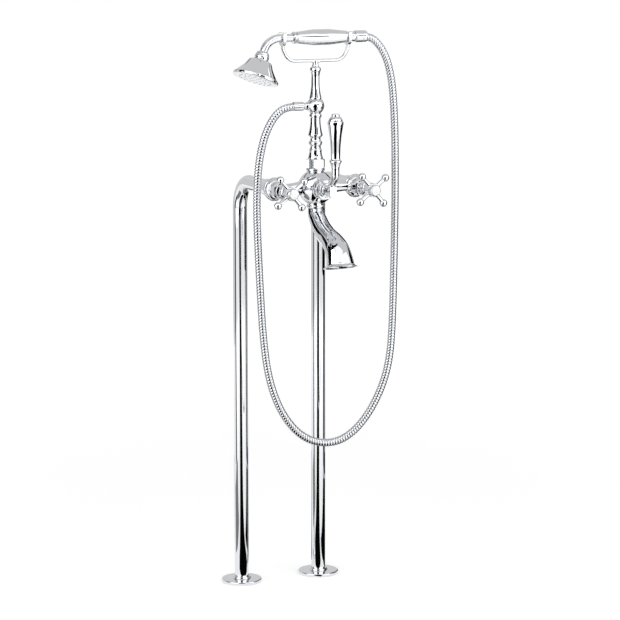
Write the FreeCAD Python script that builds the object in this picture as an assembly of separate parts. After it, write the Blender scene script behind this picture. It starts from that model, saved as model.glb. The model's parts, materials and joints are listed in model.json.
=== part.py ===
import FreeCAD, Part
import math
import os
from FreeCAD import Placement, Rotation, Vector

# Floor standing bath filler: two standpipes carry a mixer with cross handles, a spout, a diverter
# lever and a column whose cradle holds a hand shower on a ribbed metal hose.
# Millimetres. X to the right, Y to the back, Z up; the origin is on the floor midway between the legs.

# Driving dimensions
LEG_X = 75.0            # half the distance between the two supplies
AXIS_Y = -166.0         # plane of the mixer's axis, in front of the legs
AXIS_Z = 730.0          # height of the mixer's axis
PIPE_R = 12.7           # standpipe, one inch tube
PIPE_BORE = 11.2
ELBOW_R = 50.0          # centreline radius of the standpipe's elbow
COVER_R = 36.3          # floor cover
PLATE_R = 31.0          # anchor plate under the cover
FIXING_PCD = 50.0
FIXING_R = 3.25
INLET_R = 9.5           # wall of the half inch inlet thread
SPHERE_R = 30.6         # round middle of the mixer body
SPINDLE_R = 4.0
RUNNING = 0.05          # radial clearance of a turning fit
HANDLE_D = 73.25        # plane of the cross handle's balls, in front of the mixer's axis
BALL_OFFSET = 21.6
SPOKE_R = 3.65
BALL_R = 6.7
LEFT_HANDLE_TURN = -6.0     # rest angles of the two cross handles, degrees
RIGHT_HANDLE_TURN = -4.5
LEVER_D = 71.0          # middle of the lever's hub
GRIP_D = 87.0           # axis of the cranked lever grip
CRADLE_X = 60.0         # hooks of the cradle
CRADLE_FOOT_X = 50.0    # corner where a leg meets the bar
CRADLE_Z = 947.0
CRADLE_BAR_R = 2.75
CRADLE_BEND = 21.0
HANDSET_Z = 986.4       # axis of the hand shower in its cradle
HANDSET_ROLL = 8.0      # degrees that the rose leans forward
ARM_R = 6.75
ARM_BEND = 33.6
ARM_TURN = 69.1
WATERWAY = 4.5
PORT_R = 3.3            # diverter's ports and the drillings that they meet
HOSE_R = 6.8            # crest of the hose's ribs
HOSE_ROOT = 6.0
HOSE_BORE = 4.3
HOSE_RIBS = 108
HOSE_START = -28.0      # X of the hose's end in the outlet nut
HOSE_END = 76.0         # X of its end in the handset's nut
OUTLET_Z = 870.0        # centre of the column's ball, where the hose leaves
OUTLET_BALL_R = 15.2

# Route of the hose, X and Z in the plane of the mixer's axis: corners of its straight runs
HOSE_ROUTE = [
    (HOSE_START, OUTLET_Z), (-54.5, OUTLET_Z), (-74.5, 858.5), (-88, 838), (-97.8, 811), (-105.6, 768),
    (-108.8, 705), (-106.4, 632), (-102.7, 557), (-98.2, 480), (-89.2, 409), (-71.3, 354.5), (-45, 313.5),
    (-15.5, 289.5), (16.5, 280), (47, 282.5), (76, 299.5), (101, 327), (120.5, 360), (134.8, 396),
    (142.6, 436), (146, 490), (147.8, 560), (149.4, 645), (150.2, 728), (150, 808), (148.4, 865),
    (146, 903), (142.3, 934), (136, 956.5), (124.4, 975), (106.2, HANDSET_Z), (HOSE_END, HANDSET_Z)]

UP = Vector(0, 0, 1)
RIGHT = Vector(1, 0, 0)
FRONT = Vector(0, -1, 0)
CENTRE = Vector(0, AXIS_Y, AXIS_Z)
ON_AXIS = Placement(Vector(0, AXIS_Y, 0), Rotation())
parts = {}


def along(origin, direction):
    """Placement whose local Z runs from the origin in a direction."""
    return Placement(origin, Rotation(UP, direction))


def front_of(x):
    """Placement on the mixer's front at one X: local Z is the distance in front, local Y is up."""
    facing = Rotation(Vector(-1, 0, 0), UP, FRONT, "ZYX")
    return Placement(Vector(x, AXIS_Y, AXIS_Z), facing)


def turned(outline, place=None):
    """Turned solid from (radius, height) corners about local Z; four numbers are an arc: through, then to."""
    edges = []
    start = Vector(outline[0][0], 0, outline[0][1])
    for step in outline[1:] + outline[:1]:
        end = Vector(step[-2], 0, step[-1])
        if len(step) == 4:
            edges.append(Part.Arc(start, Vector(step[0], 0, step[1]), end).toShape())
        else:
            edges.append(Part.LineSegment(start, end).toShape())
        start = end
    solid = Part.Face(Part.Wire(edges)).revolve(Vector(), UP, 360)
    if place:
        solid.Placement = place
    return solid


def ring(outer, inner, low, high, place=None):
    """Plain ring or sleeve about local Z."""
    return turned([(inner, low), (outer, low), (outer, high), (inner, high)], place)


def rounded_ring(outer, inner, low, high, edge, place=None):
    """Ring whose two outer edges are rounded."""
    slip = edge * (1 - math.sqrt(0.5))
    return turned([(inner, low), (outer - edge, low), (outer - slip, low + slip, outer, low + edge),
                   (outer, high - edge), (outer - slip, high - slip, outer - edge, high),
                   (inner, high)], place)


def rod(radius, low, high, place=None):
    """Plain round bar about local Z."""
    bar = Part.makeCylinder(radius, high - low, Vector(0, 0, low), UP)
    if place:
        bar.Placement = place.multiply(bar.Placement)
    return bar


def hexagon(across_flats, low, high, place, turn=0.0):
    """Hexagon bar about local Z with its corners chamfered by a cone at both ends."""
    reach = across_flats / math.sqrt(3)
    corners = []
    for step in range(7):
        angle = math.radians(60 * step + turn)
        corners.append(Vector(reach * math.cos(angle), reach * math.sin(angle), low))
    bar = Part.Face(Part.makePolygon(corners)).extrude(Vector(0, 0, high - low))
    flat = across_flats / 2
    rise = (reach - flat) * 0.6
    blank = turned([(0, low), (flat, low), (reach, low + rise), (reach, high - rise), (flat, high),
                    (0, high)])
    bar = bar.common(blank)
    bar.Placement = place
    return bar


def merged(solids):
    """One solid from several that touch or overlap."""
    return solids[0].fuse(solids[1:]).removeSplitter()


def bent_rod(points, bend, radius):
    """Round bar along straight runs that arcs of one bend radius join."""
    solids = []
    start = points[0]
    for before, corner, after in zip(points, points[1:], points[2:]):
        inward = (corner - before).normalize()
        outward = (after - corner).normalize()
        turn = inward.getAngle(outward)
        reach = bend * math.tan(turn / 2)
        stop = corner - inward * reach
        solids.append(Part.makeCylinder(radius, (stop - start).Length, start, inward))
        pivot = inward.cross(outward).normalize()
        middle = stop + pivot.cross(inward) * bend
        section = Part.Face(Part.Wire(Part.makeCircle(radius, stop, inward)))
        solids.append(section.revolve(middle, pivot, math.degrees(turn)))
        start = corner + outward * reach
    solids.append(Part.makeCylinder(radius, (points[-1] - start).Length, start, points[-1] - start))
    return merged(solids)


def sector_pair(inner, outer, sweep, middle, low, high, place):
    """Two opposite sectors about local Z, centred on one angle."""
    solids = []
    for side in (0, 180):
        start = math.radians(middle + side - sweep / 2)
        corners = [(inner, low), (outer, low), (outer, high), (inner, high), (inner, low)]
        points = [Vector(r * math.cos(start), r * math.sin(start), z) for r, z in corners]
        solids.append(Part.Face(Part.makePolygon(points)).revolve(Vector(), UP, sweep))
    pair = Part.makeCompound(solids)
    pair.Placement = place
    return pair


def on_both_sides(make):
    """The same piece at the left and the right leg, as one group."""
    return Part.makeCompound([make(-LEG_X), make(LEG_X)])


# Legs: pipe, threaded inlet bush, anchor plate and floor cover
def standpipe(x):
    """Bent supply pipe from the floor to the flange that the union nut holds."""
    back = AXIS_Y + 24
    path = [Vector(x, 0, 0), Vector(x, 0, AXIS_Z), Vector(x, back, AXIS_Z)]
    flange = ring(13.2, PIPE_BORE, -27, -24, front_of(x))
    pipe = bent_rod(path, ELBOW_R, PIPE_R).fuse(flange)
    return pipe.cut(bent_rod(path, ELBOW_R, PIPE_BORE)).removeSplitter()


def inlet_bush(x):
    """Bush brazed in the pipe's foot; its bore carries the supply thread."""
    return ring(PIPE_BORE, INLET_R, 0, 15, along(Vector(x, 0, 0), UP))


def anchor_plate(x):
    """Floor plate brazed to the pipe, with three fixing holes that the cover hides."""
    plate = ring(PLATE_R, PIPE_R, 0, 2.5)
    for step in range(3):
        hole = rod(FIXING_R, -1, 4, Placement(Vector(FIXING_PCD / 2, 0, 0), Rotation()))
        hole.rotate(Vector(), UP, 90 + 120 * step)
        plate = plate.cut(hole)
    plate.Placement = along(Vector(x, 0, 0), UP)
    return plate


def floor_cover(x):
    """Pressed cover that slides down the pipe over the anchor plate."""
    outline = [(34.8, 0), (COVER_R, 0), (COVER_R, 4.6), (35.7, 6.1, 34.2, 6.7), (17.5, 7.2),
               (16.4, 7.7, 15.9, 8.8), (15.5, 10.2, 14.6, 10.6), (PIPE_R, 10.6), (PIPE_R, 5.2), (34.8, 5.2)]
    return turned(outline, along(Vector(x, 0, 0), UP))


for side, x in (("left", -LEG_X), ("right", LEG_X)):
    parts[side + "_standpipe"] = standpipe(x)
    parts[side + "_floor_cover"] = floor_cover(x)
    parts[side + "_anchor_plate"] = anchor_plate(x)
parts["inlet_bushes"] = on_both_sides(inlet_bush)


# Unions between the standpipes and the mixer
def union_nut(x):
    """Round union nut: its back shoulder pulls the pipe's flange on to the washer and the body's spigot."""
    outline = [(PIPE_R, -34), (13.9, -34), (14.7, -33.7, 15, -32.9), (15, -14), (14.6, -12.8, 13.8, -12.5),
               (13.22, -12.5), (13.22, -27), (PIPE_R, -27)]
    return turned(outline, front_of(x))


parts["union_nuts"] = on_both_sides(union_nut)
parts["union_washers"] = on_both_sides(lambda x: ring(13.2, 10, -24, -22, front_of(x)))


# Mixer body: a ball with a boss on each side, at the top, below and in front
def end_boss(x):
    """Boss that takes one valve; its rim and dome show, its spigot carries the union nut."""
    outline = [(0, -22), (13.22, -22), (13.22, -12), (16.5, -12), (16.5, -3), (19.2, -3),
               (20.5, -0.6, 19.4, 1.8), (18.9, 2.2), (18.6, 6.5, 14.9, 10.6), (14.3, 11.4, 14.2, 13), (0, 13)]
    return turned(outline, front_of(x))


def arm(direction):
    """Tapering arm from the ball to an end boss."""
    outline = [(0, 12), (15.5, 22), (13, 26, 11.6, 31), (10.1, 38, 9, 46), (8.2, 56, 8, 68), (0, 68)]
    return turned(outline, along(CENTRE, direction))


def valve_bores(x):
    """Valve chamber and supply passage in one end boss."""
    return turned([(0, -30), (9.5, -30), (9.5, -14), (6, -14), (6, -8), (10.5, -8), (10.5, 14),
                   (0, 14)], front_of(x))


body = [Part.makeSphere(SPHERE_R, CENTRE), arm(RIGHT), arm(RIGHT * -1), end_boss(-LEG_X), end_boss(LEG_X)]
body.append(turned([(0, 0), (14.5, 0), (14.5, 28.5), (0, 28.5)], along(CENTRE, UP)))
body.append(turned([(0, 0), (14, 0), (14, 29.5), (0, 29.5)], along(CENTRE, UP * -1)))
body.append(turned([(0, 0), (18, 24), (16.4, 27, 16, 31), (16, 38), (0, 38)], along(CENTRE, FRONT)))
chambers = [turned([(0, -13), (12, -13), (12, 22), (13.5, 22), (13.5, 40), (0, 40)], front_of(0)),
            valve_bores(-LEG_X), valve_bores(LEG_X),
            Part.makeCylinder(WATERWAY, 2 * LEG_X - 16, CENTRE - RIGHT * (LEG_X - 8), RIGHT),
            rod(13, 21, 33, along(CENTRE, UP)), rod(13, 21, 33, along(CENTRE, UP * -1)),
            Part.makeCylinder(PORT_R, 44, CENTRE + FRONT * 9.5 - UP * 22, UP)]
parts["mixer_body"] = merged(body).cut(chambers).removeSplitter()


# Valves: bonnet, ceramic discs, spindle and seals
def bonnet(x):
    """Headwork: windowed sleeve, screwed stem, hexagon and the neck that the handle's skirt meets."""
    place = front_of(x)
    core = turned([(8, -8), (9.5, -8), (9.5, 4), (10.5, 4), (10.5, 13), (12, 13), (12, 33.2),
                   (11.7, 34, 11, 34.6), (9.3, 38), (8.6, 40, 8.5, 42), (8.5, 45), (SPINDLE_R + RUNNING, 45),
                   (SPINDLE_R + RUNNING, 18.4), (5.6, 18.4), (5.6, 16), (SPINDLE_R + RUNNING, 16),
                   (SPINDLE_R + RUNNING, 5.05), (7, 5.05), (7, -3.5), (8, -3.5)], place)
    nut = hexagon(27, 13, 31, place, 30).cut(rod(11, 12, 32, place))
    window = Part.makeBox(24, 8, 5.4, Vector(-12, -4, -2.8))
    window.Placement = place
    return core.fuse(nut).cut(window).removeSplitter()


def fixed_disc(x):
    """Ceramic disc with two quarter ports that line up with the sleeve's windows."""
    place = front_of(x)
    return ring(8, 1.0, -6.5, -3.5, place).cut(sector_pair(2, 5.4, 84, 0, -7, -3, place))


def moving_disc(x):
    """Ceramic disc with two quarter notches; a quarter turn brings them over the ports."""
    place = front_of(x)
    return rod(7 - RUNNING, -3.45, -0.5, place).cut(sector_pair(2, 9, 84, 90, -4, 0, place))


def spindle(x):
    """Valve spindle with its drive flange; the handle's screw enters the front end."""
    return turned([(0, -0.5), (7 - RUNNING, -0.5), (7 - RUNNING, 5), (SPINDLE_R, 5), (SPINDLE_R, 76),
                   (1.6, 76), (1.6, 62), (0, 62)], front_of(x))


def cross_handle(x, turn):
    """Hub with skirt, neck and drum, and four ball-ended spokes."""
    place = front_of(x)
    outline = [(SPINDLE_R, 45.6), (9.2, 45.6), (9.9, 46.6, 9.6, 47.8), (7.3, 49.6, 6.4, 54),
               (6.1, 57.5, 6.6, 60.5), (8, 63.5, 10.6, 65), (11.8, 66.4, 11.9, 68), (11.9, 78),
               (11.6, 79.4, 10.6, 80), (8.2, 80), (8.2, 76), (SPINDLE_R, 76)]
    hub = turned(outline, place)
    limbs = []
    for quarter in range(4):
        angle = math.radians(45 + 90 * quarter + turn)
        reach = BALL_OFFSET * math.sqrt(2)
        outward = RIGHT * math.cos(angle) + UP * math.sin(angle)
        middle = Vector(x, AXIS_Y - HANDLE_D, AXIS_Z)
        neck = math.sqrt(BALL_R ** 2 - SPOKE_R ** 2)
        limbs.append(turned([(0, 8.6), (SPOKE_R + 0.9, 8.6), (SPOKE_R + 0.9, 11.5), (SPOKE_R, 15),
                             (SPOKE_R, reach - neck),
                             (BALL_R, reach, 0, reach + BALL_R)], along(middle, outward)))
    return merged([hub] + limbs)


def handle_cap(x):
    """Cap pressed into the hub; its front is recessed for the index disc."""
    return turned([(0, 80), (6.4, 80), (6.4, 77.2), (8.2, 77.2), (8.2, 80), (10.2, 80),
                   (10.3, 83.5, 8.9, 86.4), (8.3, 87.3, 7.5, 87.6), (7.5, 86), (0, 86)], front_of(x))


def index_disc(x):
    """Slightly crowned plain disc in the cap."""
    crown = Part.makeSphere(40, front_of(x).multVec(Vector(0, 0, 48)))
    return rod(7.5, 86, 88.5, front_of(x)).common(crown)


def handle_screw(x):
    """Cheese head screw that holds the handle on its spindle."""
    slot = Part.makeBox(9, 1, 1.2, Vector(-4.5, -0.5, 78))
    slot.Placement = front_of(x)
    outline = [(0, 62), (1.6, 62), (1.6, 76), (4, 76), (4, 78.4), (3.7, 78.9, 3.2, 79), (0, 79)]
    return turned(outline, front_of(x)).cut(slot)


for side, x, turn in (("left", -LEG_X, LEFT_HANDLE_TURN), ("right", LEG_X, RIGHT_HANDLE_TURN)):
    parts[side + "_bonnet"] = bonnet(x)
    parts[side + "_spindle"] = spindle(x)
    parts[side + "_moving_disc"] = moving_disc(x)
    parts[side + "_cross_handle"] = cross_handle(x, turn)
    parts[side + "_handle_cap"] = handle_cap(x)
    parts[side + "_index_disc"] = index_disc(x)
    parts[side + "_handle_screw"] = handle_screw(x)
parts["fixed_discs"] = on_both_sides(fixed_disc)
parts["seat_seals"] = on_both_sides(lambda x: ring(8, 5.6, -8, -6.5, front_of(x)))

# Diverter: rotor in the ball's chamber, bonnet, spindle and cranked lever
parts["diverter_bonnet"] = turned(
    [(SPINDLE_R + RUNNING, 22), (13.5, 22), (13.5, 38), (16.4, 38), (17, 39, 17, 40), (17, 42.2),
     (16.4, 43.8, 14.8, 44.2), (14.6, 46), (12.4, 46.6, 11.6, 48.6), (11.4, 50), (9, 51, 8.1, 54), (8, 56),
     (SPINDLE_R + RUNNING, 56), (SPINDLE_R + RUNNING, 32.4), (5.6, 32.4), (5.6, 30),
     (SPINDLE_R + RUNNING, 30)],
    front_of(0))
rotor = turned([(0, 14), (8, 14), (8, 5), (12 - RUNNING, 5), (12 - RUNNING, 21.9), (SPINDLE_R, 21.9),
                (SPINDLE_R, 17), (0, 17)], front_of(0))
ports = []
for angle in (45, 315):
    lean = math.radians(angle)
    outward = RIGHT * math.cos(lean) + UP * math.sin(lean)
    ports.append(Part.makeCylinder(PORT_R, 14, CENTRE + FRONT * 9.5 + outward * 5, outward))
parts["diverter_rotor"] = rotor.cut(ports)
parts["diverter_spindle"] = rod(SPINDLE_R, 17, 76, front_of(0))
parts["spindle_seals"] = Part.makeCompound(
    [ring(5.6, SPINDLE_R + RUNNING, 16, 18.4, front_of(x)) for x in (-LEG_X, LEG_X)]
    + [ring(5.6, SPINDLE_R + RUNNING, 30, 32.4, front_of(0))])

hub_edges = [Part.LineSegment(Vector(-6.5, 9, 64), Vector(-6.5, -4, 64)).toShape(),
             Part.Arc(Vector(-6.5, -4, 64), Vector(0, -10.5, 64), Vector(6.5, -4, 64)).toShape(),
             Part.LineSegment(Vector(6.5, -4, 64), Vector(6.5, 9, 64)).toShape(),
             Part.LineSegment(Vector(6.5, 9, 64), Vector(-6.5, 9, 64)).toShape()]
hub = Part.Face(Part.Wire(hub_edges)).extrude(Vector(0, 0, 14))
hub = hub.makeFillet(1.6, hub.Edges)
hub.Placement = front_of(0)
crank = bent_rod([CENTRE + FRONT * LEVER_D + UP * 3, CENTRE + FRONT * LEVER_D + UP * 13,
                  CENTRE + FRONT * GRIP_D + UP * 28, CENTRE + FRONT * GRIP_D + UP * 36.5], 8, 6.8)
grip_foot = along(CENTRE + FRONT * GRIP_D, UP)
collar = turned([(0, 34), (6.8, 36), (7.2, 44, 9.4, 50.6), (10.4, 51.6, 10.4, 53), (10.2, 54.3, 9.2, 55),
                 (SPINDLE_R, 55.6), (SPINDLE_R, 70), (0, 70)], grip_foot)
lever = merged([hub, crank, collar])
lever = lever.cut(rod(SPINDLE_R, 60, 76, front_of(0)))
lever_screw = turned([(0, 4), (2, 4), (2.5, 4.5), (2.5, 9.6), (1.3, 9.6), (1.3, 7.6), (0, 7.6)],
                     along(CENTRE + FRONT * LEVER_D, UP * -1))
parts["diverter_lever"] = lever.cut(rod(2.5, 3, 12, along(CENTRE + FRONT * LEVER_D, UP * -1)))
parts["lever_screw"] = lever_screw
parts["lever_grip"] = turned(
    [(0, 70), (SPINDLE_R, 70), (SPINDLE_R, 55.6), (8.8, 55.6), (8.1, 57, 8, 59), (8.9, 82, 13, 113),
     (13.6, 115.8, 13.5, 118), (13, 120.2, 12, 121), (0, 121)], grip_foot)
parts["lever_finial"] = turned(
    [(0, 121), (12, 121), (10.6, 125.2, 7, 128.4), (6.8, 130.8), (6, 132.6, 4.4, 133.2),
     (0, 133.2)], grip_foot)

# Spout: a swelling neck that turns down into a bell
SPOUT_LINE = [(-166, 694.5, 13, 180), (-168.5, 686, 14, 195), (-177, 676.5, 15, 228), (-193, 664, 15.9, 242),
              (-214, 653.5, 17.2, 245), (-240, 645, 18.8, 239), (-257.5, 636.5, 20.4, 225),
              (-268, 624.5, 21.8, 209), (-273.6, 612.8, 23.4, 193)]
SPOUT_WALL = 2.5


def spout_sections(inset):
    """Circles square to the spout's line; the last number of a station is its heading from straight up."""
    wires = []
    for y, z, radius, heading in SPOUT_LINE:
        lean = math.radians(heading)
        facing = Vector(0, math.sin(lean), math.cos(lean))
        section = Part.makeCircle(radius - inset)
        section.Placement = Placement(Vector(0, y, z), Rotation(RIGHT, Vector(), facing, "ZXY"))
        wires.append(Part.Wire(section))
    return wires


mouth_y, mouth_z, mouth_r, mouth_heading = SPOUT_LINE[-1]
mouth_way = Vector(0, math.sin(math.radians(mouth_heading)), math.cos(math.radians(mouth_heading)))
lip = turned([(mouth_r, 0), (24.4, 3.4, 28.6, 6.4), (29, 6.9), (29, 7.6), (28.5, 8), (27.6, 8),
              (22.2, 4.6, mouth_r - SPOUT_WALL, 0)],
             along(Vector(0, mouth_y, mouth_z), mouth_way))
outer = Part.makeLoft(spout_sections(0), True, False)
inner = Part.makeLoft(spout_sections(SPOUT_WALL), True, False)
neck = rod(13, 694.5, 707, ON_AXIS)
neck = neck.cut(rod(8, 690, 708, ON_AXIS))
parts["spout"] = merged([outer.cut(inner), neck, lip])
parts["spout_collar"] = turned([(13, 694.5), (13.6, 694.5), (15.4, 696.4), (15.8, 697.4, 15.6, 698.6),
                                (14.6, 700.5), (13, 700.5)], ON_AXIS)

# Column between the mixer and the cradle
parts["column_ring"] = rounded_ring(16.2, 13, 758.5, 763.5, 1.2, ON_AXIS)
parts["column_nut"] = hexagon(30, 763.5, 779.3, ON_AXIS, 0).cut(rod(11, 760, 780, ON_AXIS))
parts["column"] = turned(
    [(5, 753), (13, 753), (13, 763.5), (11, 763.5), (11, 779.3), (12.6, 779.3), (13, 781.2, 12.4, 783),
     (11, 788.5, 10.9, 793.5), (10.7, 795.6, 9.8, 796.4), (9.2, 799.6, 9.8, 802.8),
     (11.4, 804.3, 11.5, 806.6), (11.4, 808.9, 9.8, 810.2), (8.8, 813.4, 9.2, 816.2), (12.3, 818.6),
     (12.6, 820, 12.2, 822), (9.6, 834, 8.6, 850), (7.5, 850), (7.5, 859), (5, 859)], ON_AXIS)
ball_foot = math.sqrt(OUTLET_BALL_R ** 2 - 12.8 ** 2)
ball_top = math.sqrt(OUTLET_BALL_R ** 2 - 11.4 ** 2)
outlet_ball = turned(
    [(7.5, 850), (9.8, 850), (10.6, 853.1, 9.9, 856.2), (8.6, 857.2), (ball_foot, OUTLET_Z - 12.8),
     (OUTLET_BALL_R, OUTLET_Z, ball_top, OUTLET_Z + 11.4), (5.5, 881.4), (5.5, 876), (5, 876), (5, 859),
     (7.5, 859)], ON_AXIS)
parts["upper_column"] = turned(
    [(0, 880), (4, 880), (4, 876), (5.5, 876), (5.5, 881.4), (10.2, 881.4), (10.5, 883.2, 10.1, 885.2),
     (7.7, 898, 7, 914), (7.1, 921, 8.3, 928.4), (9.5, 930.4, 9.3, 933.2), (8.2, 935.9, 5.6, 936.8),
     (3.5, 936.8), (3.5, 925), (0, 925)], ON_AXIS)
parts["body_washers"] = Part.makeCompound(
    [ring(12.9, 6, 751, 753, ON_AXIS), ring(12.9, 8, 707, 709, ON_AXIS),
     ring(7.1, 4, 27, 28, along(Vector(0, AXIS_Y, OUTLET_Z), RIGHT * -1))])

# Cradle: one bent bar on a stem, with a hook at each end
def cradle_leg(x):
    """Corners of one leg, from the hook's socket down to the bar."""
    foot = math.copysign(CRADLE_FOOT_X, x)
    top = Vector(x, AXIS_Y, HANDSET_Z - 13.6)
    return [top, top - UP * 6.4, Vector(foot, AXIS_Y, CRADLE_Z)]


stem = turned([(0, 925), (3.5, 925), (3.5, 936.8), (5.6, 936.8), (5.9, 938, 5.4, 939), (4.9, 941, 4.8, 944),
               (4.8, CRADLE_Z), (0, CRADLE_Z)], ON_AXIS)
branches = []
for x in (-1, 1):
    branches.append(bent_rod([Vector(1.6 * x, AXIS_Y, CRADLE_Z - 9), Vector(1.6 * x, AXIS_Y, CRADLE_Z - 0.2),
                              Vector(14 * x, AXIS_Y, CRADLE_Z - 0.2)], 7.5, CRADLE_BAR_R - 0.2))
bar = bent_rod(cradle_leg(-CRADLE_X) + cradle_leg(CRADLE_X)[::-1], CRADLE_BEND, CRADLE_BAR_R)
parts["cradle_bar"] = merged([bar, stem] + branches)


def cradle_hook(x, inside):
    """Open hook that the hand shower drops into from above."""
    top = 7.2
    wall = 4.4
    level = HANDSET_Z
    corners = [(-inside, top), (-inside, 0), (0, -inside, inside, 0), (inside, top),
               (inside + wall / 2, top + wall / 2, inside + wall, top), (inside + wall, 0),
               (0, -14, -inside - wall, 0), (-inside - wall, top)]
    edges = []
    start = Vector(x - 3, AXIS_Y + corners[0][0], level + corners[0][1])
    for step in corners[1:]:
        end = Vector(x - 3, AXIS_Y + step[-2], level + step[-1])
        if len(step) == 4:
            edges.append(Part.Arc(start, Vector(x - 3, AXIS_Y + step[0], level + step[1]), end).toShape())
        else:
            edges.append(Part.LineSegment(start, end).toShape())
        start = end
    tip = Vector(x - 3, AXIS_Y - inside - wall / 2, level + top + wall / 2)
    first = Vector(x - 3, AXIS_Y - inside, level + top)
    edges.append(Part.Arc(start, tip, first).toShape())
    hook = Part.Face(Part.Wire(edges)).extrude(Vector(6, 0, 0))
    hook = hook.makeChamfer(0.6, hook.Edges)
    return hook.cut(rod(CRADLE_BAR_R, -20, -13.6, along(Vector(x, AXIS_Y, HANDSET_Z), UP)))


parts["left_cradle_hook"] = cradle_hook(-CRADLE_X, 7.2)
parts["right_cradle_hook"] = cradle_hook(CRADLE_X, 9.0)

# Hose outlet on the ball
OUTLET = along(Vector(0, AXIS_Y, OUTLET_Z), RIGHT * -1)
parts["outlet_ball"] = outlet_ball.cut(rod(5, 3, 16, OUTLET)).removeSplitter()
nipple = turned([(4, 9), (5, 9), (5, 13), (7.2, 13), (7.2, 15.6), (6.2, 18, 5.9, 21.6), (5.4, 22.4),
                 (5.4, 27), (4, 27)], OUTLET)
socket = Part.makeSphere(OUTLET_BALL_R, Vector(0, AXIS_Y, OUTLET_Z)).cut(rod(5, 0, 20, OUTLET))
parts["hose_nipple"] = nipple.cut(socket)
parts["hose_nut"] = turned([(5.4, 23), (6.8, 23), (7.5, 23.3, 7.75, 24.4), (7.75, 40.2), (7.6, 40.9, 7.1, 41),
                            (7.1, 27), (5.4, 27)], OUTLET)

# Hand shower, lying in the cradle along X; its rose turns down at the left and leans forward
HANDSET_AXIS = Vector(0, AXIS_Y, HANDSET_Z)
ALONG_HANDSET = along(HANDSET_AXIS, RIGHT)
ROUND_HANDSET = Placement(HANDSET_AXIS, Rotation(RIGHT, -HANDSET_ROLL)).multiply(
    Placement(HANDSET_AXIS * -1, Rotation()))


def rolled(solid):
    """The piece turned with the rose about the handset's axis."""
    solid.Placement = ROUND_HANDSET.multiply(solid.Placement)
    return solid


ARM_START = -64.5
lean = math.radians(90 - ARM_TURN)
rose_way = Vector(-math.sin(lean), 0, -math.cos(lean))
elbow = HANDSET_AXIS + RIGHT * (ARM_START - ARM_BEND * math.tan(math.radians(ARM_TURN / 2)))
rose_base = elbow + rose_way * (ARM_BEND * math.tan(math.radians(ARM_TURN / 2)) + 16)
arm_path = [HANDSET_AXIS + RIGHT * -30, elbow, rose_base - rose_way * 4]
arm_tube = bent_rod(arm_path, ARM_BEND, ARM_R)
arm_path = [HANDSET_AXIS + RIGHT * -29, elbow, rose_base - rose_way * 3]
parts["handset_arm"] = rolled(arm_tube.cut(bent_rod(arm_path, ARM_BEND, WATERWAY)))

ROSE = along(rose_base, rose_way)
parts["rose_nut"] = rolled(turned(
    [(ARM_R, -15), (7.3, -15), (9.8, -13.2, 11.3, -9), (12.1, -7.6, 12.3, -4.2), (12.3, -1),
     (12, -0.3, 11.2, 0), (5, 0), (5, -4), (ARM_R, -4)], ROSE))
parts["rose_bell"] = rolled(turned(
    [(5, 0), (11, 0), (12.4, 0.6, 14, 1.2), (18.8, 2, 21.2, 5.2), (24.7, 12, 29.2, 18.2), (36.4, 27.4),
     (37.6, 28.5), (39.2, 29.6, 39.6, 31.4), (39.6, 33.2), (39.4, 34.2, 38.6, 34.6), (37, 34.6), (37, 30.8),
     (34.6, 28.8), (27.8, 20), (23, 13.8, 19.2, 6.4), (17.6, 4, 14, 3.4), (5, 3.2)], ROSE))
plate = turned([(0, 32.6), (37, 32.6), (37, 34.6), (35.8, 35), (0, 35.4)], ROSE)
nozzles = []
for count, radius in ((1, 0), (6, 9), (12, 18), (18, 27)):
    for step in range(count):
        angle = 2 * math.pi * step / count
        nozzle = rod(1.1, 31, 37, along(Vector(radius * math.cos(angle), radius * math.sin(angle), 0), UP))
        nozzle.Placement = ROSE.multiply(nozzle.Placement)
        nozzles.append(nozzle)
parts["rose_face"] = rolled(plate.cut(nozzles))
parts["rose_seal"] = rolled(ring(37, 34.8, 31, 32.6, ROSE))

parts["handset_step_ring"] = turned(
    [(ARM_R, -43), (7.4, -43), (8.2, -42.4, 9.6, -41.8), (10.3, -39.8, 9.6, -37.6), (8.4, -36.9),
     (8.2, -35.8), (8.4, -35), (ARM_R, -35)], ALONG_HANDSET)
parts["handset_grip"] = turned(
    [(ARM_R, -35), (9.4, -35), (9.9, -34.7, 10, -33.8), (13.9, 8, 10.2, 53.6), (9.9, 54.5, 9.4, 54.8),
     (ARM_R, 54.8), (ARM_R, 44), (6, 43), (6, -29), (ARM_R, -30)], ALONG_HANDSET)
tail = turned(
    [(WATERWAY, 44), (ARM_R, 44), (ARM_R, 54.8), (9.4, 54.8), (9.9, 55.6, 9.4, 56.6), (8.5, 57), (8.5, 71),
     (8.1, 72), (6.6, 72), (6.6, 75), (WATERWAY, 75)], ALONG_HANDSET)
parts["handset_tail"] = tail
parts["hose_cone_nut"] = turned(
    [(6.6, 72), (9, 72), (9.9, 73, 10.2, 75), (10.2, 85.6), (9.9, 86), (7.1, 86), (7.1, 75), (6.6, 75)],
    ALONG_HANDSET)
parts["hose_ferrule"] = turned(
    [(7.1, 86), (9.6, 86), (10, 86.5), (10, 90), (9.6, 92.8, 8.4, 94.4), (7.1, 94.4)], ALONG_HANDSET)
parts["handset_washer"] = ring(7.1, WATERWAY, 75, 76, ALONG_HANDSET)


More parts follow.
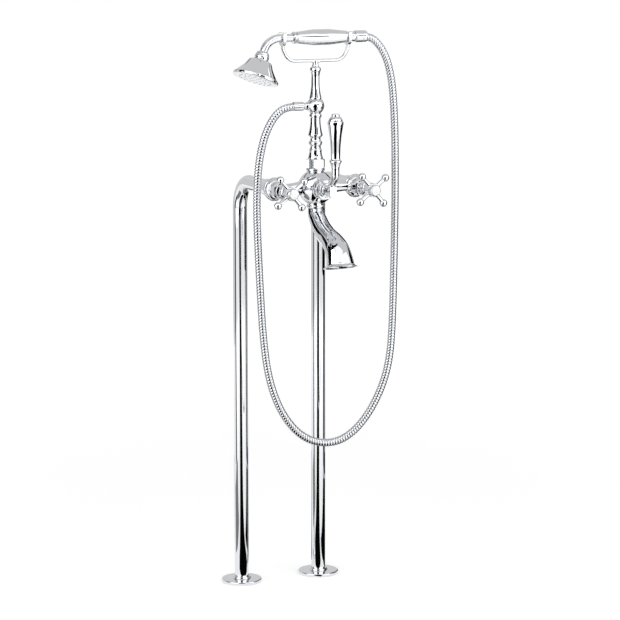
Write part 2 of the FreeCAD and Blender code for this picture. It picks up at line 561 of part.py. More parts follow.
# Hose: a tube along the route, with ribs all the way round
def route_edges(corners, share=0.45):
    """Straight runs and tangent arcs; an arc takes a share of the shorter run at its corner."""
    points = [Vector(x, AXIS_Y, z) for x, z in corners]
    edges = []
    radii = []
    start = points[0]
    for before, corner, after in zip(points, points[1:], points[2:]):
        reach = share * min((corner - before).Length, (after - corner).Length)
        inward = (corner - before).normalize()
        outward = (after - corner).normalize()
        turn = inward.getAngle(outward)
        radius = reach / math.tan(turn / 2)
        bisector = (outward - inward).normalize()
        middle = corner + bisector * (radius / math.cos(turn / 2) - radius)
        edges.append(Part.LineSegment(start, corner - inward * reach).toShape())
        edges.append(Part.Arc(corner - inward * reach, middle, corner + outward * reach).toShape())
        radii.append(radius)
        start = corner + outward * reach
    edges.append(Part.LineSegment(start, points[-1]).toShape())
    return edges, radii


def station(edges, distance):
    """Point and heading at one distance along the route."""
    for edge in edges:
        if distance <= edge.Length or edge is edges[-1]:
            spot = edge.getParameterByLength(min(distance, edge.Length))
            heading = edge.tangentAt(spot)
            return edge.valueAt(spot), heading
        distance -= edge.Length


def hose_section(edges, distance, radius):
    """Circle square to the route whose seam always faces the back."""
    point, heading = station(edges, distance)
    section = Part.makeCircle(radius)
    section.Placement = Placement(point, Rotation(Vector(0, 1, 0), Vector(), heading, "ZXY"))
    return Part.Wire(section)


edges, radii = route_edges(HOSE_ROUTE)
length = sum(edge.Length for edge in edges)
pitch = length / HOSE_RIBS
sections = []
for rib in range(HOSE_RIBS):
    for share, radius in ((0.0, HOSE_ROOT), (0.2, HOSE_R), (0.7, HOSE_R), (0.9, HOSE_ROOT)):
        sections.append(hose_section(edges, (rib + share) * pitch, radius))
sections.append(hose_section(edges, length, HOSE_ROOT))
skin = Part.makeLoft(sections, True, True)
core = Part.Wire(edges).makePipeShell([hose_section(edges, 0, HOSE_BORE)], True, False)
parts["shower_hose"] = skin.cut(core)
slope = (HOSE_R ** 2 + HOSE_R * HOSE_ROOT + HOSE_ROOT ** 2) / 3
ribbed = HOSE_R ** 2 * 0.5 + HOSE_ROOT ** 2 * 0.1 + slope * 0.4
print("hose length", round(length, 1), "radii", [round(radius) for radius in radii])
expected = math.pi * (ribbed - HOSE_BORE ** 2) * length
print("hose volume", round(parts["shower_hose"].Volume), "expected", round(expected))

os.makedirs("parts", exist_ok=True)
for name, shape in parts.items():
    if not shape.isValid() or shape.Volume < 1:
        print("check", name, shape.isValid(), shape.Volume)
    shape.exportStep("parts/" + name + ".step")
print(len(parts), "parts")
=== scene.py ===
import json
import math

import bmesh
import bpy
from mathutils import Matrix, Vector

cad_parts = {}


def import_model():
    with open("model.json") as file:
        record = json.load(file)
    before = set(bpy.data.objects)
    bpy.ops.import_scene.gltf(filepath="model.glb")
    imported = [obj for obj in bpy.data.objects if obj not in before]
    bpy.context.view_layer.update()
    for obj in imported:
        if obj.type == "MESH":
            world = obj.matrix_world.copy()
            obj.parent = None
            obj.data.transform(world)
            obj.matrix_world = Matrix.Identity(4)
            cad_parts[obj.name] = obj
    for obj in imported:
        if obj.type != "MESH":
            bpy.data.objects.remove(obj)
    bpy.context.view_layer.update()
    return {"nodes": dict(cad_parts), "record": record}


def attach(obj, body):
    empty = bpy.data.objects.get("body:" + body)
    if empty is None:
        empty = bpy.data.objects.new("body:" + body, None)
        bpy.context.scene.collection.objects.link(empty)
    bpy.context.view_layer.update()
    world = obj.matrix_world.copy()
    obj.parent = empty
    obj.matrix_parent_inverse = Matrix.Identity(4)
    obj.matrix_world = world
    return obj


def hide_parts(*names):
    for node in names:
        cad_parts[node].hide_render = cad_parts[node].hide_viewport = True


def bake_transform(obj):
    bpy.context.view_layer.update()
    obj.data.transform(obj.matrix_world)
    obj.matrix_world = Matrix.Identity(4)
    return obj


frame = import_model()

# Floor standing bath filler in chrome plated brass. The object's sizes are millimetres in the CAD frame: X to the
# right, Y to the back, Z up, the floor at zero. A turned piece is an outline of (radius, height) points along its
# own axis; for what sits on the mixer's front, that height is the distance in front of the mixer's axis.
MM = 0.001
MICRON = 1e-6
TINY = 1e-6             # a length below this counts as none
LEG_X = 75.0            # each standpipe's distance from the middle
PIPE_R = 12.7           # one inch tube
PIPE_BEND = 50.0        # radius of the standpipe's bend
PIPE_END = 27.0         # its front end lies this far behind the mixer's axis
AXIS_Y = -166.0         # the mixer's axis, from tap to tap
AXIS_Z = 730.0
BALL_R = 30.6           # ball in the middle of the mixer
OUTLET_Z = 870.0        # outlet of the hose on the column
CRADLE_Z = 947.0        # cradle's bar, in its middle
HOOK_X = 60.0           # each cradle hook's distance from the middle
HANDSET_Z = 986.4       # the hand shower's axis
HOSE_R = 6.8
HOSE_PITCH = 5.0        # from one turn of the hose's strip to the next
RIB_DEPTH = 0.9
RIB_CROWN = 3.0         # power of the rib's rounding: a higher one makes it flatter and its seams narrower

ROUND = 72              # flats round a turned piece
FINE_ROUND = 96         # flats round the ball and round a nut
SMALL_ROUND = 48        # flats round a stem or a spoke
THIN_ROUND = 32         # flats round the cradle's bar
ARC_STEP = 7.0          # degrees of an outline's arc between two points
SHARP_EDGE = 34         # degrees between two faces that are not shaded as one

UP = Vector((0, 0, 1))
RIGHT = Vector((1, 0, 0))
FRONT = Vector((0, -1, 0))
BACK = Vector((0, 1, 0))
CENTRE = Vector((0, AXIS_Y, AXIS_Z))


# ---------------------------------------------------------------- materials
def linear(code):
    """Linear colour of an sRGB hex value."""
    channels = [int(code[i:i + 2], 16) / 255 for i in (1, 3, 5)]
    return tuple(c / 12.92 if c <= 0.04045 else ((c + 0.055) / 1.055) ** 2.4 for c in channels) + (1.0,)


def add_node(tree, kind, settings=None, links=None):
    """Adds one node. Settings go to its sockets or properties; links join its sockets to outputs of others."""
    node = tree.nodes.new(kind)
    for key, value in (settings or {}).items():
        if isinstance(key, int) or key in node.inputs:
            node.inputs[key].default_value = value
        else:
            setattr(node, key, value)
    for key, (source, output) in (links or {}).items():
        tree.links.new(source.outputs[output], node.inputs[key])
    return node


def math_node(tree, operation, *values):
    """One arithmetic step; a value is a number or a (node, output) pair, and so is what it returns."""
    node = add_node(tree, "ShaderNodeMath", {"operation": operation})
    for socket, value in zip(node.inputs, values):
        if isinstance(value, tuple):
            tree.links.new(value[0].outputs[value[1]], socket)
        else:
            socket.default_value = value
    return node, "Value"


def finish_of(name, colour, metallic, rough_low, rough_high, grain_mm, bump_um, **more):
    """Surface whose roughness wanders between two values over grains of one size, with a matching bump."""
    material = bpy.data.materials.new(name)
    material.use_nodes = True
    tree = material.node_tree
    shader = tree.nodes["Principled BSDF"]
    shader.inputs["Base Color"].default_value = linear(colour)
    shader.inputs["Metallic"].default_value = metallic
    for key, value in more.items():
        shader.inputs[key.replace("_", " ")].default_value = value
    place = add_node(tree, "ShaderNodeTexCoord")
    grain = add_node(tree, "ShaderNodeTexNoise",
                     {"Scale": 1 / (grain_mm * MM), "Detail": 3.0, "Roughness": 0.55},
                     {"Vector": (place, "Object")})
    spread = add_node(tree, "ShaderNodeMapRange",
                      {"From Min": 0.3, "From Max": 0.7, "To Min": rough_low, "To Max": rough_high},
                      {"Value": (grain, "Fac")})
    relief = add_node(tree, "ShaderNodeBump", {"Strength": 1.0, "Distance": bump_um * MICRON},
                      {"Height": (grain, "Fac")})
    tree.links.new(spread.outputs["Result"], shader.inputs["Roughness"])
    tree.links.new(relief.outputs["Normal"], shader.inputs["Normal"])
    return material


# Chromium plate over polished brass castings: a clear mirror with a little haze left by the polishing mop
chrome = finish_of("chromium_plated_brass", "#DFE1E4", 1.0, 0.02, 0.055, 14.0, 1.2)
# The same plate on drawn tube: straighter and a shade cleaner
tube_chrome = finish_of("chromium_plated_tube", "#E1E3E6", 1.0, 0.015, 0.045, 22.0, 0.6)
# Rolled steel strip wound into the hose's cover: each turn is polished, the seams between them are rougher
strip_chrome = finish_of("polished_wound_strip", "#D2D4D8", 1.0, 0.06, 0.16, 2.5, 4.0)
# White glazed porcelain: a hard clear glaze over an even white body
porcelain = finish_of("glazed_porcelain", "#F3F3F0", 0.0, 0.06, 0.14, 5.0, 2.0, IOR=1.52, Coat_Weight=0.6,
                      Coat_Roughness=0.03)
# Machined brass inside the valves: fine turning marks keep it satin
brass = finish_of("machined_brass", "#C9A25A", 1.0, 0.22, 0.38, 1.2, 3.0)
# Ground alumina of the valve discs: matt white with a slight sheen
alumina = finish_of("ground_alumina", "#E9E6DA", 0.0, 0.30, 0.45, 0.8, 1.0)
# Moulded black rubber seals
rubber = finish_of("moulded_rubber", "#17171A", 0.0, 0.50, 0.70, 0.6, 6.0)
# Pressed fibre washers
fibre = finish_of("pressed_fibre", "#5B4638", 0.0, 0.65, 0.85, 0.5, 12.0)
# Stainless steel screws
steel = finish_of("turned_stainless_steel", "#B9BCC0", 1.0, 0.18, 0.30, 0.9, 2.0)
# Soft silicone nozzles of the rose
silicone = finish_of("moulded_silicone", "#8C9096", 0.0, 0.35, 0.50, 0.7, 3.0)

SLOT_FINISH = {"chrome": chrome, "brass": brass, "porcelain": porcelain, "ceramic": alumina, "rubber": rubber,
               "fibre": fibre, "steel": steel, "hose_metal": strip_chrome}
for entry in frame["record"]["subparts"]:
    solid = frame["nodes"][entry["node"]]
    solid.data.materials.clear()
    solid.data.materials.append(SLOT_FINISH[entry["material_slot"]])


# ---------------------------------------------------------------- shaping
def along(origin, direction):
    """Places a piece so that its own Z runs from a point in a direction."""
    return Matrix.Translation(origin) @ direction.to_track_quat("Z", "Y").to_matrix().to_4x4()


def at_front(x):
    """Place of what sits on the mixer's front at one X; its own Z is the distance forward."""
    facing = Matrix(((1, 0, 0), (0, 0, -1), (0, 1, 0))).to_4x4()
    return Matrix.Translation((x, AXIS_Y, AXIS_Z)) @ facing


def angles_round(flats):
    """Evenly spaced angles of a whole turn."""
    return [2 * math.pi * i / flats for i in range(flats)]


def traced(outline):
    """Points of an outline given as (radius, height), where four numbers are an arc: through, then to."""
    points = [Vector(outline[0])]
    for step in outline[1:]:
        start, end = points[-1], Vector(step[-2:])
        if len(step) == 4:
            through = Vector(step[:2])
            a, b = through - start, end - start
            twist = 2 * (a.x * b.y - a.y * b.x)
            middle = start + Vector((b.y * a.length_squared - a.y * b.length_squared,
                                     a.x * b.length_squared - b.x * a.length_squared)) / twist
            first = math.atan2(start.y - middle.y, start.x - middle.x)
            sweep = math.atan2(end.y - middle.y, end.x - middle.x) - first
            half = math.atan2(through.y - middle.y, through.x - middle.x) - first
            sweep, half = sweep % (2 * math.pi), half % (2 * math.pi)
            if half > sweep:
                sweep -= 2 * math.pi
            count = max(3, math.ceil(abs(sweep) / math.radians(ARC_STEP)))
            radius = (start - middle).length
            for i in range(1, count):
                angle = first + sweep * i / count
                points.append(middle + radius * Vector((math.cos(angle), math.sin(angle))))
        points.append(end)
    return points


def eased(points, edge, closed):
    """The same line with its sharp corners rounded by a small edge."""
    blunt = math.radians(16)
    made = []
    for i, corner in enumerate(points):
        if not closed and i in (0, len(points) - 1):
            made.append(corner)
            continue
        back, ahead = points[i - 1] - corner, points[(i + 1) % len(points)] - corner
        if min(back.length, ahead.length) < TINY:
            continue
        if math.pi - back.angle(ahead) < blunt:
            made.append(corner)
            continue
        cut = min(edge, 0.4 * back.length, 0.4 * ahead.length)
        start, end = corner + back.normalized() * cut, corner + ahead.normalized() * cut
        made += [start * (1 - t) ** 2 + corner * 2 * t * (1 - t) + end * t * t for t in (0, 0.33, 0.67, 1)]
    return made


def turned(shape, outline, place, edge=0.35, flats=ROUND, radius_at=None):
    """Adds a turned form: solid if its outline starts on the axis, else a ring whose outline closes on itself.

    radius_at changes the radius with the angle, as on a hexagon.
    """
    points = traced(outline)
    closed = points[0].x > TINY
    points = eased(points, edge, closed)
    rings = []
    for point in points:
        if point.x < TINY:
            rings.append([shape.verts.new(place @ Vector((0, 0, point.y)) * MM)])
            continue
        ring = []
        for angle in angles_round(flats):
            radius = radius_at(point.x, angle) if radius_at else point.x
            spot = Vector((radius * math.cos(angle), radius * math.sin(angle), point.y))
            ring.append(shape.verts.new(place @ spot * MM))
        rings.append(ring)
    for low, high in zip(rings, rings[1:] + rings[:1] if closed else rings[1:]):
        for i in range(flats):
            j = (i + 1) % flats
            corners = [low[i % len(low)], low[j % len(low)], high[j % len(high)], high[i % len(high)]]
            kept = [v for k, v in enumerate(corners) if v not in corners[:k]]
            if len(kept) > 2:
                shape.faces.new(kept)


def hexagon(shape, across_flats, low, high, place, turn, bore):
    """Adds a hexagon nut whose corners are chamfered by a cone at both ends."""
    flat = across_flats / 2
    reach = flat / math.cos(math.pi / 6)
    rise = (reach - flat) * 0.6     # height of the chamfer
    inset = 0.4                     # how far inside the flats the chamfer starts
    steps = 8

    def limit(radius, angle):
        side = (angle - math.radians(turn)) % (math.pi / 3) - math.pi / 6
        return min(radius, flat / math.cos(side)) if radius > bore + 0.5 else radius

    cone = [(flat - inset + (reach - flat + inset) * i / steps, low + rise * i / steps) for i in range(steps + 1)]
    outline = [(bore, low)] + cone + [(r, low + high - z) for r, z in reversed(cone)] + [(bore, high)]
    turned(shape, outline, place, 0.15, FINE_ROUND, limit)


def skinned(shape, rings):
    """Joins rings of equally many corners by faces and closes the first and the last ring."""
    for low, high in zip(rings, rings[1:]):
        for i in range(len(low)):
            j = (i + 1) % len(low)
            shape.faces.new((low[i], low[j], high[j], high[i]))
    shape.faces.new(rings[0])
    shape.faces.new(rings[-1])


def swept(shape, line, radius, side, flats=SMALL_ROUND):
    """Adds a round bar along points; side is a vector square to the whole path."""
    rings = []
    for i, point in enumerate(line):
        heading = (line[min(i + 1, len(line) - 1)] - line[max(i - 1, 0)]).normalized()
        across = heading.cross(side).normalized()
        rings.append([shape.verts.new((point + radius * (math.cos(a) * side + math.sin(a) * across)) * MM)
                      for a in angles_round(flats)])
    skinned(shape, rings)


def bent(points, bend, step=5.0):
    """Line of straight runs joined by arcs of one bend radius, divided for sweeping."""
    line = [points[0]]
    for before, corner, after in zip(points, points[1:], points[2:]):
        inward, outward = (corner - before).normalized(), (after - corner).normalized()
        turn = inward.angle(outward)
        reach = bend * math.tan(turn / 2)
        pivot = inward.cross(outward).normalized()
        middle = corner - inward * reach + pivot.cross(inward) * bend
        spoke = corner - inward * reach - middle
        count = max(4, math.ceil(math.degrees(turn) / step))
        line += [middle + Matrix.Rotation(turn * i / count, 3, pivot) @ spoke for i in range(count + 1)]
    line.append(points[-1])
    return line


def in_scene(name, data):
    """New object of the scene."""
    made = bpy.data.objects.new(name, data)
    bpy.context.scene.collection.objects.link(made)
    return made


def shade(mesh, edge_angle):
    """Shades a mesh smooth, except over edges that turn by more than an angle in degrees."""
    for face in mesh.polygons:
        face.use_smooth = True
    mesh.set_sharp_from_angle(angle=math.radians(edge_angle))


def piece(name, body, finish, stands_for, build):
    """Makes one finished piece: its mesh is built in place, welded, turned outwards and shaded smooth."""
    shape = bmesh.new()
    build(shape)
    bmesh.ops.remove_doubles(shape, verts=shape.verts, dist=1e-7)
    bmesh.ops.recalc_face_normals(shape, faces=shape.faces)
    mesh = bpy.data.meshes.new(name)
    shape.to_mesh(mesh)
    shape.free()
    shade(mesh, SHARP_EDGE)
    mesh.materials.append(finish)
    made = in_scene(name, mesh)
    weighting = made.modifiers.new("even_normals", "WEIGHTED_NORMAL")
    weighting.keep_sharp = True
    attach(made, body)
    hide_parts(stands_for)


def turned_piece(name, body, finish, stands_for, outline, place, edge=0.35):
    """Makes a finished piece that is one turned form."""
    piece(name, body, finish, stands_for, lambda shape: turned(shape, outline, place, edge))


# ---------------------------------------------------------------- legs
for side, x in (("left", -LEG_X), ("right", LEG_X)):
    foot = along(Vector((x, 0, 0)), UP)
    turned_piece(side + "_foot_cover", "filler", chrome, side + "_floor_cover",
                 [(34.8, 0), (36.3, 0), (36.3, 4.6), (35.7, 6.1, 34.2, 6.7), (17.5, 7.2), (16.4, 7.7, 15.9, 8.8),
                  (15.5, 10.2, 14.6, 10.6), (PIPE_R, 10.6), (PIPE_R, 5.2), (34.8, 5.2)], foot, 0.5)
    run = [Vector((x, 0, 0)), Vector((x, 0, AXIS_Z)), Vector((x, AXIS_Y + PIPE_END, AXIS_Z))]
    piece(side + "_bent_pipe", "filler", tube_chrome, side + "_standpipe",
          lambda shape: swept(shape, bent(run, PIPE_BEND, 3.0), PIPE_R, RIGHT, ROUND))


def union_nuts(shape):
    """Both round nuts, each over the front end of its pipe."""
    outline = [(PIPE_R, -34), (13.9, -34), (14.7, -33.7, 15, -32.9), (15, -14), (14.6, -12.8, 13.8, -12.5),
               (13.22, -12.5), (13.22, -PIPE_END), (PIPE_R, -PIPE_END)]
    for x in (-LEG_X, LEG_X):
        turned(shape, outline, at_front(x))


piece("round_union_nuts", "filler", chrome, "union_nuts", union_nuts)


# ---------------------------------------------------------------- mixer body
def cast_body(shape):
    """Ball, two arms, two rimmed end bosses and the bosses above, below and in front."""
    turned(shape, [(0, -BALL_R), (BALL_R, 0, 0, BALL_R)], Matrix.Translation(CENTRE), flats=FINE_ROUND)
    arm = [(0, 12), (15.5, 22), (13, 26, 11.6, 31), (10.1, 38, 9, 46), (8.2, 56, 8, 68), (0, 68)]
    boss = [(0, -22), (13.22, -22), (13.22, -12), (16.5, -12), (16.5, -3), (19.2, -3), (20.5, -0.6, 19.4, 1.8),
            (18.9, 2.2), (18.6, 6.5, 14.9, 10.6), (14.3, 11.4, 14.2, 13), (0, 13)]
    for x in (-LEG_X, LEG_X):
        turned(shape, arm, along(CENTRE, RIGHT if x > 0 else -RIGHT))
        turned(shape, boss, at_front(x))
    turned(shape, [(0, 10), (14.5, 10), (14.5, 28.5), (0, 28.5)], along(CENTRE, UP))
    turned(shape, [(0, 10), (14, 10), (14, 29.5), (0, 29.5)], along(CENTRE, -UP))
    turned(shape, [(0, 10), (18, 24), (16.4, 27, 16, 31), (16, 38), (0, 38)], along(CENTRE, FRONT))


piece("mixer_casting", "filler", chrome, "mixer_body", cast_body)

# ---------------------------------------------------------------- taps
BONNET = [(4.05, 4), (10.5, 4), (10.5, 13), (12, 13), (12, 33.2), (11.7, 34, 11, 34.6), (9.3, 38),
          (8.6, 40, 8.5, 42), (8.5, 45), (4.05, 45)]
HUB = [(4, 45.6), (9.2, 45.6), (9.9, 46.6, 9.6, 47.8), (7.3, 49.6, 6.4, 54), (6.1, 57.5, 6.6, 60.5),
       (8, 63.5, 10.6, 65), (11.8, 66.4, 11.9, 68), (11.9, 78), (11.6, 79.4, 10.6, 80), (8.2, 80), (8.2, 76),
       (4, 76)]
SPOKE_R = 3.65
KNOB_R = 6.7
KNOB_FOOT = math.sqrt(KNOB_R ** 2 - SPOKE_R ** 2)
REACH = 21.6 * math.sqrt(2)         # from the tap's axis to the middle of a knob
LIMB = [(0, 8.6), (4.55, 8.6), (4.55, 11.5), (SPOKE_R, 15), (SPOKE_R, REACH - KNOB_FOOT),
        (KNOB_R, REACH, 0, REACH + KNOB_R)]
LIMBS_FORWARD = 73.25               # the plane of the spokes
CAP = [(0, 80), (10.2, 80), (10.3, 83.5, 8.9, 86.4), (8.3, 87.3, 7.5, 87.6), (7.5, 86), (0, 86)]
DISC = [(0, 86), (7.5, 86), (7.5, 87.29), (3.75, 87.82), (0, 88)]
# Closed, each cross stands a few degrees off an even X, by an amount of its own
for side, x, turn in (("left", -LEG_X, -6.0), ("right", LEG_X, -4.5)):
    front = at_front(x)
    body = side + "_tap"

    def headwork(shape):
        turned(shape, BONNET, front)
        hexagon(shape, 27, 13, 31, front, turn=30, bore=10)

    def cross(shape):
        turned(shape, HUB, front, 0.5)
        middle = Vector((x, AXIS_Y - LIMBS_FORWARD, AXIS_Z))
        for quarter in range(4):
            angle = math.radians(45 + 90 * quarter + turn)
            turned(shape, LIMB, along(middle, RIGHT * math.cos(angle) + UP * math.sin(angle)), 0.3, SMALL_ROUND)

    piece(side + "_tap_bonnet", "filler", chrome, side + "_bonnet", headwork)
    piece(side + "_cross", body, chrome, side + "_cross_handle", cross)
    turned_piece(side + "_cap", body, chrome, side + "_handle_cap", CAP, front)
    turned_piece(side + "_index", body, porcelain, side + "_index_disc", DISC, front, 0.25)

# ---------------------------------------------------------------- diverter
turned_piece("diverter_headwork", "filler", chrome, "diverter_bonnet",
             [(4.05, 30), (13.5, 30), (13.5, 38), (16.4, 38), (17, 39, 17, 40), (17, 42.2),
              (16.4, 43.8, 14.8, 44.2), (14.6, 46), (12.4, 46.6, 11.6, 48.6), (11.4, 50), (9, 51, 8.1, 54), (8, 56),
              (4.05, 56)], at_front(0))
LEVER_FORWARD = 71              # the lever's hub
GRIP_FORWARD = 87               # its grip, which the crank brings further out
GRIP_FOOT = along(CENTRE + FRONT * GRIP_FORWARD, UP)


def lever(shape):
    """Hub block, cranked stem and the collar under the grip."""
    outline = eased(traced([(-6.5, 9), (-6.5, -4), (0, -10.5, 6.5, -4), (6.5, 9)]), 1.6, True)
    middle, half_width, half_height = 0.75, 7, 10       # the block's middle lies a little below the axis
    rings = []
    for forward, inset in ((64, 1.4), (64.4, 0.4), (65.6, 0), (76.4, 0), (77.6, 0.4), (78, 1.4)):
        rings.append([shape.verts.new(at_front(0) @ Vector((
            p.x * (1 - inset / half_width), (p.y + middle) * (1 - inset / half_height) - middle, forward)) * MM)
            for p in outline])
    skinned(shape, rings)
    stem_r, stem_bend = 6.8, 8
    stem = [(LEVER_FORWARD, 3), (LEVER_FORWARD, 13), (GRIP_FORWARD, 28), (GRIP_FORWARD, 36.5)]
    corners = [CENTRE + FRONT * forward + UP * rise for forward, rise in stem]
    swept(shape, bent(corners, stem_bend, 4.0), stem_r, RIGHT)
    turned(shape, [(0, 34), (6.8, 36), (7.2, 44, 9.4, 50.6), (10.4, 51.6, 10.4, 53), (10.2, 54.3, 9.2, 55),
                   (4, 55.6), (4, 60), (0, 60)], GRIP_FOOT)


piece("cranked_lever", "diverter", chrome, "diverter_lever", lever)
turned_piece("lever_handle", "diverter", chrome, "lever_grip",
             [(0, 58), (4, 58), (4, 55.6), (8.8, 55.6), (8.1, 57, 8, 59), (8.9, 82, 13, 113),
              (13.6, 115.8, 13.5, 118), (13, 120.2, 12, 121), (0, 121)], GRIP_FOOT)
turned_piece("lever_crown", "diverter", chrome, "lever_finial",
             [(0, 121), (12, 121), (10.6, 125.2, 7, 128.4), (6.8, 130.8), (6, 132.6, 4.4, 133.2), (0, 133.2)],
             GRIP_FOOT)

# ---------------------------------------------------------------- spout
# Stations along the spout: Y, Z, radius, and the way it runs there in degrees from straight up
SPOUT_LINE = [(-166, 694.5, 13, 180), (-168.5, 686, 14, 195), (-177, 676.5, 15, 228), (-193, 664, 15.9, 242),
              (-214, 653.5, 17.2, 245), (-240, 645, 18.8, 239), (-257.5, 636.5, 20.4, 225),
              (-268, 624.5, 21.8, 209), (-273.6, 612.8, 23.4, 193)]
SPOUT_WALL = 2.5
MOUTH_R = SPOUT_LINE[-1][2]
# The mouth's lip: radius, and the distance past the last station
MOUTH_LIP = [(23.4, 0), (24.4, 3.4, 28.6, 6.4), (29, 6.9), (29, 7.6), (28.5, 8), (27.6, 8), (22.2, 4.6, 20.9, 0)]


def between(stations, share):
    """Value on a smooth curve through the spout's stations."""
    at = share * (len(stations) - 1)
    i = min(int(at), len(stations) - 2)
    t = at - i
    rows = [Vector(stations[max(0, min(len(stations) - 1, i + k))]) for k in (-1, 0, 1, 2)]
    if i == 0:
        rows[0] = 2 * rows[1] - rows[2]
    if i == len(stations) - 2:
        rows[3] = 2 * rows[2] - rows[1]
    a, b, c, d = rows
    return 0.5 * (2 * b + (c - a) * t + (2 * a - 5 * b + 4 * c - d) * t ** 2 + (3 * b - a - 3 * c + d) * t ** 3)


def bell_spout(shape):
    """Swelling neck that turns down into a bell with an open mouth; its inside follows the outside."""
    count = 64
    rings = []

    def ring(share, inset, shift=0.0):
        y, z, radius, heading = between(SPOUT_LINE, share)
        lean = math.radians(heading)
        facing = Vector((0, math.sin(lean), math.cos(lean)))
        across = facing.cross(RIGHT)
        middle = Vector((0, y, z)) + facing * shift
        rings.append([shape.verts.new((middle + (radius - inset) * (math.cos(a) * RIGHT + math.sin(a) * across))
                                      * MM) for a in angles_round(ROUND)])

    for i in range(count):
        ring(i / count, 0.0)
    for point in eased(traced(MOUTH_LIP), 0.3, False):
        ring(1.0, MOUTH_R - point.x, point.y)
    for i in range(count - 1, 0, -1):
        ring(i / count, SPOUT_WALL)
    skinned(shape, rings)


piece("bell_spout", "filler", chrome, "spout", bell_spout)
AXIS_UP = along(Vector((0, AXIS_Y, 0)), UP)     # place of what is turned round the upright axis of spout and column
turned_piece("spout_ring", "filler", chrome, "spout_collar",
             [(12.9, 694.5), (13.6, 694.5), (15.4, 696.4), (15.8, 697.4, 15.6, 698.6), (14.6, 700.5),
              (12.9, 700.5)], AXIS_UP)

# ---------------------------------------------------------------- column and cradle
turned_piece("column_seat_ring", "filler", chrome, "column_ring",
             [(13, 758.5), (15, 758.5), (16.2, 759.7), (16.2, 762.3), (15, 763.5), (13, 763.5)], AXIS_UP, 0.8)
piece("column_hexagon", "filler", chrome, "column_nut",
      lambda shape: hexagon(shape, 30, 763.5, 779.3, AXIS_UP, turn=0, bore=11))
turned_piece("turned_column", "filler", chrome, "column",
             [(5, 765), (11, 765), (11, 779.3), (12.6, 779.3), (13, 781.2, 12.4, 783), (11, 788.5, 10.9, 793.5),
              (10.7, 795.6, 9.8, 796.4), (9.2, 799.6, 9.8, 802.8), (11.4, 804.3, 11.5, 806.6),
              (11.4, 808.9, 9.8, 810.2), (8.8, 813.4, 9.2, 816.2), (12.3, 818.6), (12.6, 820, 12.2, 822),
              (9.6, 834, 8.6, 850), (5, 850)], AXIS_UP)
OUTLET_R = 15.2
OUTLET_LOW, OUTLET_HIGH = 857.2, 881.4      # the outlet's ball is cut level at both ends
OUTLET_LOW_R = math.sqrt(OUTLET_R ** 2 - (OUTLET_Z - OUTLET_LOW) ** 2)
OUTLET_HIGH_R = math.sqrt(OUTLET_R ** 2 - (OUTLET_HIGH - OUTLET_Z) ** 2)
turned_piece("column_ball", "filler", chrome, "outlet_ball",
             [(5, 850), (9.8, 850), (10.6, 853.1, 9.9, 856.2), (8.6, OUTLET_LOW), (OUTLET_LOW_R, OUTLET_LOW),
              (OUTLET_R, OUTLET_Z, OUTLET_HIGH_R, OUTLET_HIGH), (5, OUTLET_HIGH)], AXIS_UP)
COLUMN_TOP = 936.8
turned_piece("column_top", "filler", chrome, "upper_column",
             [(4, OUTLET_HIGH), (10.2, OUTLET_HIGH), (10.5, 883.2, 10.1, 885.2), (7.7, 898, 7, 914),
              (7.1, 921, 8.3, 928.4), (9.5, 930.4, 9.3, 933.2), (8.2, 935.9, 5.6, COLUMN_TOP), (4, COLUMN_TOP)],
             AXIS_UP)


def cradle(shape):
    """Bent bar whose middle flows into the stem on both sides."""
    bar_r, bar_bend = 2.75, 21.0
    leg = [(HOOK_X, HANDSET_Z - 13.6), (HOOK_X, HANDSET_Z - 20), (50, CRADLE_Z)]
    corners = [(-x, z) for x, z in leg] + leg[::-1]
    swept(shape, bent([Vector((x, AXIS_Y, z)) for x, z in corners], bar_bend), bar_r, BACK, THIN_ROUND)
    fillet_r, fillet_bend, fillet_z = 2.55, 7.5, CRADLE_Z - 0.2
    for side in (-1, 1):
        corners = [(1.6 * side, CRADLE_Z - 9), (1.6 * side, fillet_z), (14 * side, fillet_z)]
        swept(shape, bent([Vector((x, AXIS_Y, z)) for x, z in corners], fillet_bend), fillet_r, BACK, THIN_ROUND)
    turned(shape, [(0, COLUMN_TOP), (5.6, COLUMN_TOP), (5.9, 938, 5.4, 939), (4.9, 941, 4.8, 944),
                   (4.8, CRADLE_Z), (0, CRADLE_Z)], AXIS_UP)


piece("bent_cradle", "filler", chrome, "cradle_bar", cradle)


def crutch(x, inside):
    """Builder of one open hook with rounded horns, centred on one X and with one inner radius."""
    def build(shape):
        wall, top, bottom, width, rounding = 4.4, 7.2, -14, 6, 0.9
        outside = inside + wall
        outline = traced([(-inside, top), (-inside, 0), (0, -inside, inside, 0), (inside, top),
                          (inside + wall / 2, top + wall / 2, outside, top), (outside, 0),
                          (0, bottom, -outside, 0), (-outside, top),
                          (-inside - wall / 2, top + wall / 2, -inside, top)])[:-1]
        side = shape.faces.new([shape.verts.new(Vector((x - width / 2, AXIS_Y + p.x, HANDSET_Z + p.y)) * MM)
                                for p in outline])
        grown_part = bmesh.ops.extrude_face_region(shape, geom=[side])["geom"]
        far_side = [v for v in grown_part if isinstance(v, bmesh.types.BMVert)]
        bmesh.ops.translate(shape, vec=RIGHT * width * MM, verts=far_side)
        rims = [e for e in shape.edges if abs(e.verts[0].co.x - e.verts[1].co.x) < TINY]
        bmesh.ops.bevel(shape, geom=rims, offset=rounding * MM, segments=3, affect="EDGES", profile=0.5)
    return build


